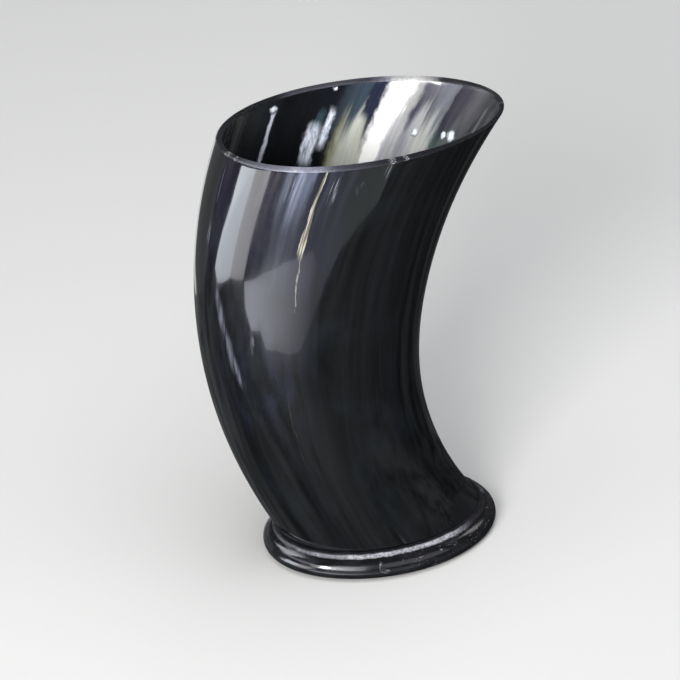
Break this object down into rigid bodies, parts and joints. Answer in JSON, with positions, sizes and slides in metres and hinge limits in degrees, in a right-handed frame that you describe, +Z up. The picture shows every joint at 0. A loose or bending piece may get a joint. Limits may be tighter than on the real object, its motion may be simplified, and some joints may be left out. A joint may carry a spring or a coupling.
{
  "type": "horn beaker",
  "caption": "Curved, flattened animal-horn drinking beaker with a level oval mouth, on a wider oval horn foot sealed with adhesive.",
  "frame": {"origin": "middle of the foot's flat underside", "axes": "+Z up out of the mouth; the horn bends in the XZ plane, bulging towards -X, with the mouth's overhanging tip at +X; +Y across the flat sides"},
  "size_m": [0.0895, 0.0486, 0.14],
  "materials": {
    "horn": "polished dark horn, lacquered, streaked cream and grey inside",
    "foot_horn": "polished black horn, scuffed",
    "plug_horn": "lacquered dark horn",
    "clear_adhesive": "cured clear resin",
    "grey_adhesive": "grainy grey-white adhesive"
  },
  "bodies": {
    "root": {"horn_body": "horn", "foot_disc": "foot_horn", "floor_plug": "plug_horn", "floor_seal": "clear_adhesive", "foot_glue_bead": "grey_adhesive"}
  },
  "joints": []
}
